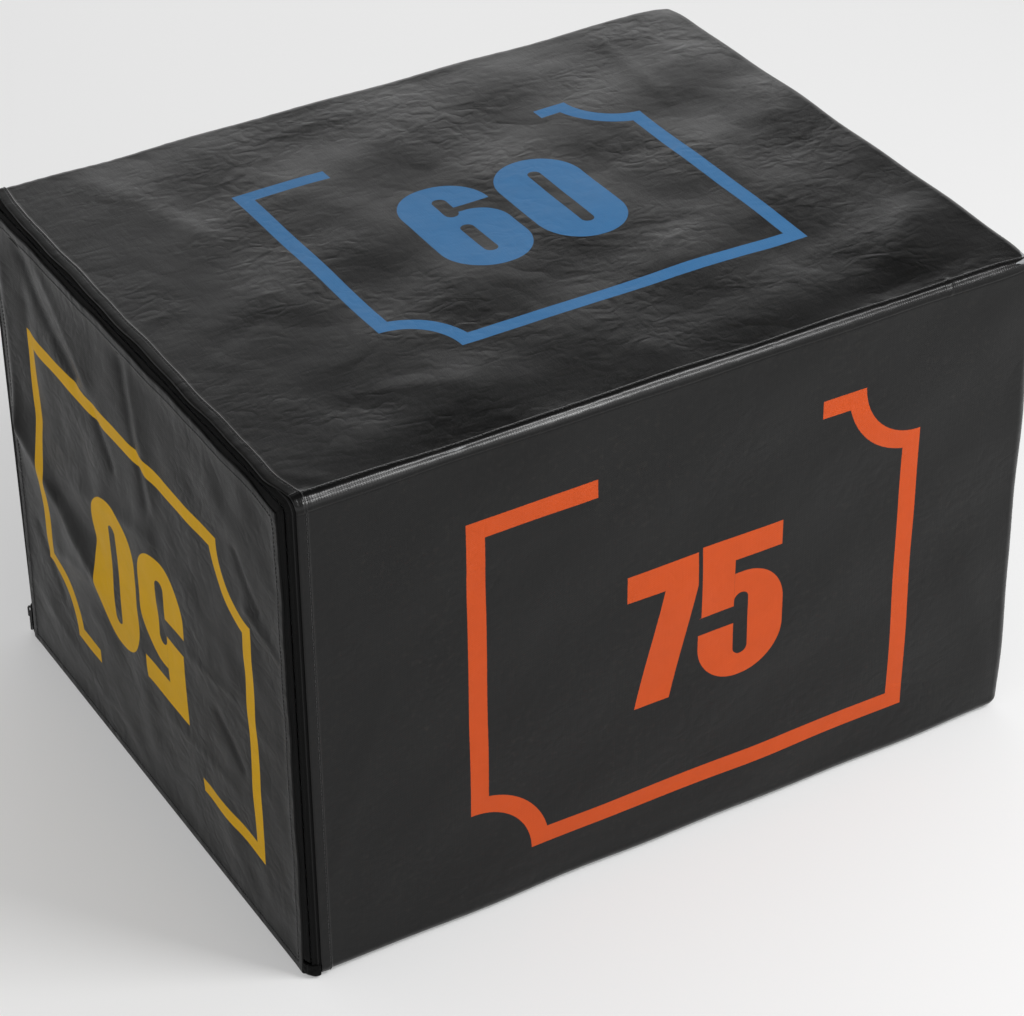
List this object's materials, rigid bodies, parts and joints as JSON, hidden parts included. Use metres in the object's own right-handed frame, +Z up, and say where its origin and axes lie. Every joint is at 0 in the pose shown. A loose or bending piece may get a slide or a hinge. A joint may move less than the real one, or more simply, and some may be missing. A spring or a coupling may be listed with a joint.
{
  "type": "plyo box",
  "caption": "Soft plyometric jump box: laminated foam core in a black coated-cloth cover with numbered faces, and an end flap closed by a zip.",
  "frame": {"origin": "middle of the underside, on the floor", "axes": "+X from the zipped left end to the right end, +Y from the front face to the back, +Z up"},
  "size_m": [0.7508, 0.6008, 0.5],
  "materials": {
    "vinyl": "satin",
    "zip_tape": "matte",
    "zip_coil": "satin",
    "zip_metal": "satin",
    "foam": "matte"
  },
  "bodies": {
    "cover": {"top_panel": "vinyl", "front_panel": "vinyl", "back_panel": "vinyl", "base_panel": "vinyl", "right_end_panel": "vinyl", "zip_end_tab_front": "vinyl", "zip_end_tab_rear": "vinyl", "shell_zip_tape": "zip_tape", "shell_zip_coil": "zip_coil", "foam_slab_01": "foam", "foam_slab_02": "foam", "foam_slab_03": "foam", "foam_slab_04": "foam", "foam_slab_05": "foam", "foam_slab_06": "foam", "foam_slab_07": "foam", "foam_slab_08": "foam", "foam_slab_09": "foam", "foam_slab_10": "foam"},
    "flap": {"zip_flap_panel": "vinyl", "flap_zip_tape": "zip_tape", "flap_zip_coil": "zip_coil"},
    "slider": {"zip_slider": "zip_metal"},
    "pull_tab": {"zip_pull_tab": "zip_metal"}
  },
  "joints": [
    {"name": "flap_hinge", "type": "hinge", "parent": "cover", "child": "flap", "pos_m": [-0.375, 0, 0], "axis": [0, -1, 0], "range_deg": [0, 87]},
    {"name": "slider_run", "type": "slide", "parent": "cover", "child": "slider", "axis": [0, 0, 1], "range_m": [0, 0.43]},
    {"name": "pull_tab_swing", "type": "hinge", "parent": "slider", "child": "pull_tab", "pos_m": [-0.37297, 0.29797, 0.0243], "axis": [0.7071, 0.7071, 0], "range_deg": [0, 170]}
  ]
}
